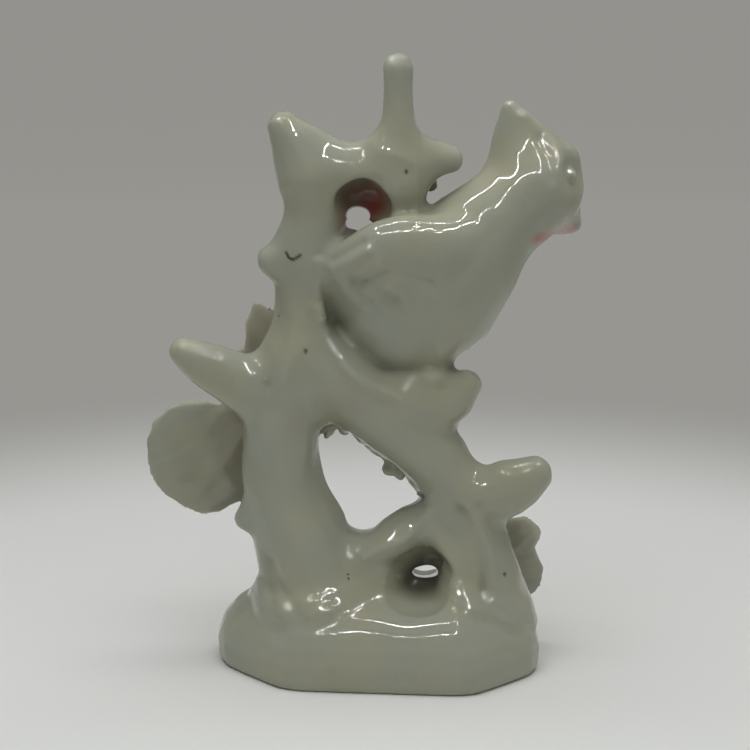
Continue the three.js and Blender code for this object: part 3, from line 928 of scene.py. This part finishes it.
def bare_foot(paint):
    """The foot's underside, wiped clean of glaze."""
    skin = paint.skin
    under = smoothstep(-0.5, -0.9, skin.normals[:, 2])
    paint.brush(BISCUIT, under * smoothstep(0.6, 0.2, skin.points[:, 2]))


# Lines through shares of a node's box along X and Z.
CHIN = ((0.51, 0.01), (0.72, -0.01), (0.92, 0.03))
WINDOW_RIM = ((0.66, 0.50), (0.70, 0.42), (0.80, 0.35), (0.92, 0.30))
CRACK = ((0.22, 0.40), (0.26, 0.37), (0.32, 0.362), (0.41, 0.385))

# Faint stains: the colour, a node and shares of its box, the reach and the cover.
STAINS = (
    (BLUSH, "bird_head", (0.72, 0.1, 0.1), 3.0, 0.14),
    (RED, "crown_leaf", (0.1, 0.5, 0.1), 4.5, 0.4),
    (BROWN, "trunk", (0.52, 0.1, 0.61), 5.5, 0.16),
    (BROWN, "perch", (0.2, 0.1, 0.5), 4.5, 0.12),
)
MOUND_STAINS = (
    (BLUE_STAIN, "mound", (0.18, 0.02, 0.3), 1.6, 0.13),
    (BLUE_STAIN, "mound", (0.36, 0.02, 0.27), 1.3, 0.13),
    (BLUE_STAIN, "mound", (0.22, 0.02, 0.22), 1.0, 0.13),
)
# Specks of kiln dirt: a node and shares of its box along X and Z.
SPECKS = (("trunk", 0.51, 0.84), ("spire", 0.6, 0.36), ("foot_blossom_petal_1", 0.25, 0.4))
SPECK_LENGTH = 0.004


def paint_back(paint):
    """What the brush and the kiln left on the plain back, with painted shade in the bowl and in the
    crown's recess.
    """
    skin = paint.skin

    def away(node, shares, radii=(1, 1, 1)):
        return np.linalg.norm((skin.points - at(node, *shares)) / radii, axis=1)

    inside = smoothstep(-2.5, 1.5, skin.points[:, 1])
    crown = away("crown_web", (0.74, 0.2, 0.3))
    paint.brush(RED, 0.85 * inside * np.exp(-((crown / 4.6) ** 2)))
    bowl = smoothstep(1.3, 0.5, away("root_web", (0.58, 0.3, -0.05), (7, 10, 6)))
    paint.brush(BOWL_SHADE, 0.78 * bowl * smoothstep(-15, -4, skin.points[:, 1]))
    recess = smoothstep(6.5, 3.0, away("crown_web", (0.45, 0.1, 0.75)))
    paint.brush(RECESS_SHADE, 0.5 * inside * recess)
    chin = track(skin, "bird_head", CHIN)
    under = smoothstep(0.1, -0.5, skin.normals[:, 2])
    paint.brush(RED, 0.6 * under * np.exp(-((chin / 1.4) ** 2)))
    for colour, node, shares, radius, cover in STAINS:
        paint.dab(colour, at(node, *shares), radius, cover)
    rim = track(skin, "trunk", WINDOW_RIM)
    paint.brush(BROWN, 0.75 * inside * np.exp(-((rim / 1.6) ** 2)))
    for colour, node, shares, radius, cover in MOUND_STAINS:
        paint.dab(colour, at(node, *shares), radius, cover)
    back = skin.normals[:, 1] < -0.2
    crack = track(skin, "trunk_top", CRACK)
    paint.brush(SOOT, 0.9 * back * smoothstep(0.42, 0.15, crack))
    for node, u, w in SPECKS:
        speck = track(skin, node, ((u, w), (u, w + SPECK_LENGTH)))
        paint.brush(SOOT, 0.85 * back * smoothstep(0.5, 0.2, speck))


# ---------------------------------------------------------------- materials

class Nodes:
    """A material's node tree, with short calls to add to it."""

    def __init__(self, name):
        self.material = bpy.data.materials.new(name)
        self.material.use_nodes = True
        self.tree = self.material.node_tree
        self.shader = self.tree.nodes["Principled BSDF"]

    def add(self, kind, settings=(), **inputs):
        node = self.tree.nodes.new(kind)
        for key, value in dict(settings).items():
            setattr(node, key, value)
        for key, value in inputs.items():
            self.put(node.inputs[key.replace("_", " ")], value)
        return node

    def put(self, socket, value):
        if isinstance(value, bpy.types.NodeSocket):
            self.tree.links.new(value, socket)
        else:
            socket.default_value = value

    def mix(self, factor, a, b):
        node = self.add("ShaderNodeMix", {"data_type": "RGBA"})
        for socket, value in ((node.inputs[0], factor), (node.inputs["A"], a), (node.inputs["B"], b)):
            self.put(socket, value)
        return node.outputs["Result"]

    def ramp(self, value, low, high):
        node = self.add("ShaderNodeMapRange", {"interpolation_type": "SMOOTHSTEP"}, Value=value)
        node.inputs["From Min"].default_value = low
        node.inputs["From Max"].default_value = high
        return node.outputs["Result"]

    def noise(self, scale, detail, place):
        node = self.add("ShaderNodeTexNoise", Scale=scale, Detail=detail, Vector=place)
        return node.outputs["Fac"]


GLAZE = (0.39, 0.388, 0.29, 1)
GLAZE_COOL = (0.36, 0.378, 0.305, 1)
# Pooled glaze, darkened further as painted shade in the creases and hollows.
GLAZE_POOLED_AND_SHADED = (0.17, 0.17, 0.105, 1)
GLAZE_THIN = (0.44, 0.45, 0.35, 1)
IRON_SPOT = (0.03, 0.025, 0.02, 1)
CLOUD_SCALE = 70  # per metre, like the other scales
SPOT_SCALE = 150
ORANGE_PEEL_SCALE = 420
SPOT_CHANCE = (0.975, 0.98)
SPOT_RADIUS = (0.05, 0.03)


def glaze_material():
    """Clear high-gloss glaze over greenish porcelain, darker in the hollows with pooled glaze and painted
    shade, and paler on the edges.
    """
    net = Nodes("glaze")
    place = net.add("ShaderNodeTexCoord").outputs["Object"]
    # How deep each point lies in a hollow: it sets where the glaze darkens with pooling and painted
    # shade, and where it pales on the edges.
    hollow_depth = net.add("ShaderNodeAttribute", {"attribute_name": "hollow_depth"}).outputs["Fac"]
    paint = net.add("ShaderNodeAttribute", {"attribute_name": "paint"})
    clouds = net.ramp(net.noise(CLOUD_SCALE, 3, place), 0.35, 0.65)
    tone = net.mix(clouds, GLAZE, GLAZE_COOL)
    # The hollows take the darker pooled glaze, which also serves as painted shade in the creases.
    tone = net.mix(net.ramp(hollow_depth, 0.02, 0.5), tone, GLAZE_POOLED_AND_SHADED)
    tone = net.mix(net.ramp(hollow_depth, -0.05, -0.5), tone, GLAZE_THIN)
    cells = net.add("ShaderNodeTexVoronoi", Scale=SPOT_SCALE, Vector=place)
    chance = net.add("ShaderNodeSeparateColor", Color=cells.outputs["Color"]).outputs["Red"]
    spot = net.add("ShaderNodeMath", {"operation": "MULTIPLY"})
    net.put(spot.inputs[0], net.ramp(cells.outputs["Distance"], *SPOT_RADIUS))
    net.put(spot.inputs[1], net.ramp(chance, *SPOT_CHANCE))
    tone = net.mix(spot.outputs[0], tone, IRON_SPOT)
    colour = net.mix(paint.outputs["Alpha"], tone, paint.outputs["Color"])
    net.put(net.shader.inputs["Base Color"], colour)
    net.shader.inputs["Roughness"].default_value = 0.28
    net.shader.inputs["Specular IOR Level"].default_value = 0.0
    net.shader.inputs["Coat Weight"].default_value = 1.0
    net.shader.inputs["Coat Roughness"].default_value = 0.005
    peel = net.noise(ORANGE_PEEL_SCALE, 2, place)
    bump = net.add("ShaderNodeBump", Height=peel, Strength=0.02, Distance=0.0002)
    net.put(net.shader.inputs["Normal"], bump.outputs["Normal"])
    net.put(net.shader.inputs["Coat Normal"], bump.outputs["Normal"])
    return net.material


# ---------------------------------------------------------------- assembly

# How far the hollowness reaches that darkens the creases with pooled glaze and painted shade.
HOLLOW_SHADE_ROUNDS = round(24 * (0.36 / VOXEL) ** 2)  # the same reach on the coarser quick grid
SEAM_ROUNDS = 6


def main():
    add_camera()
    add_world()
    add_lights()
    add_stage()
    skin = Skin(*fused_field())
    add_relief(skin)
    skin.relax(skin.quads, ~skin.glazed, 0.5, SEAM_ROUNDS)  # only the faces inside the clay
    paint = Paint(skin)
    paint_front(paint)
    paint_back(paint)
    bare_foot(paint)
    # The hollow depth darkens the creases with pooled glaze and painted shade.
    values = {"hollow_depth": skin.hollowness(HOLLOW_SHADE_ROUNDS), "paint": paint.layer}
    glaze = glaze_material()
    for node in NODES:
        piece = skin.piece(node, values)
        piece.data.materials.append(glaze)
        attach(piece, "root")
        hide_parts(node)


main()

view = bpy.context.scene.view_settings
view.view_transform = "Standard"
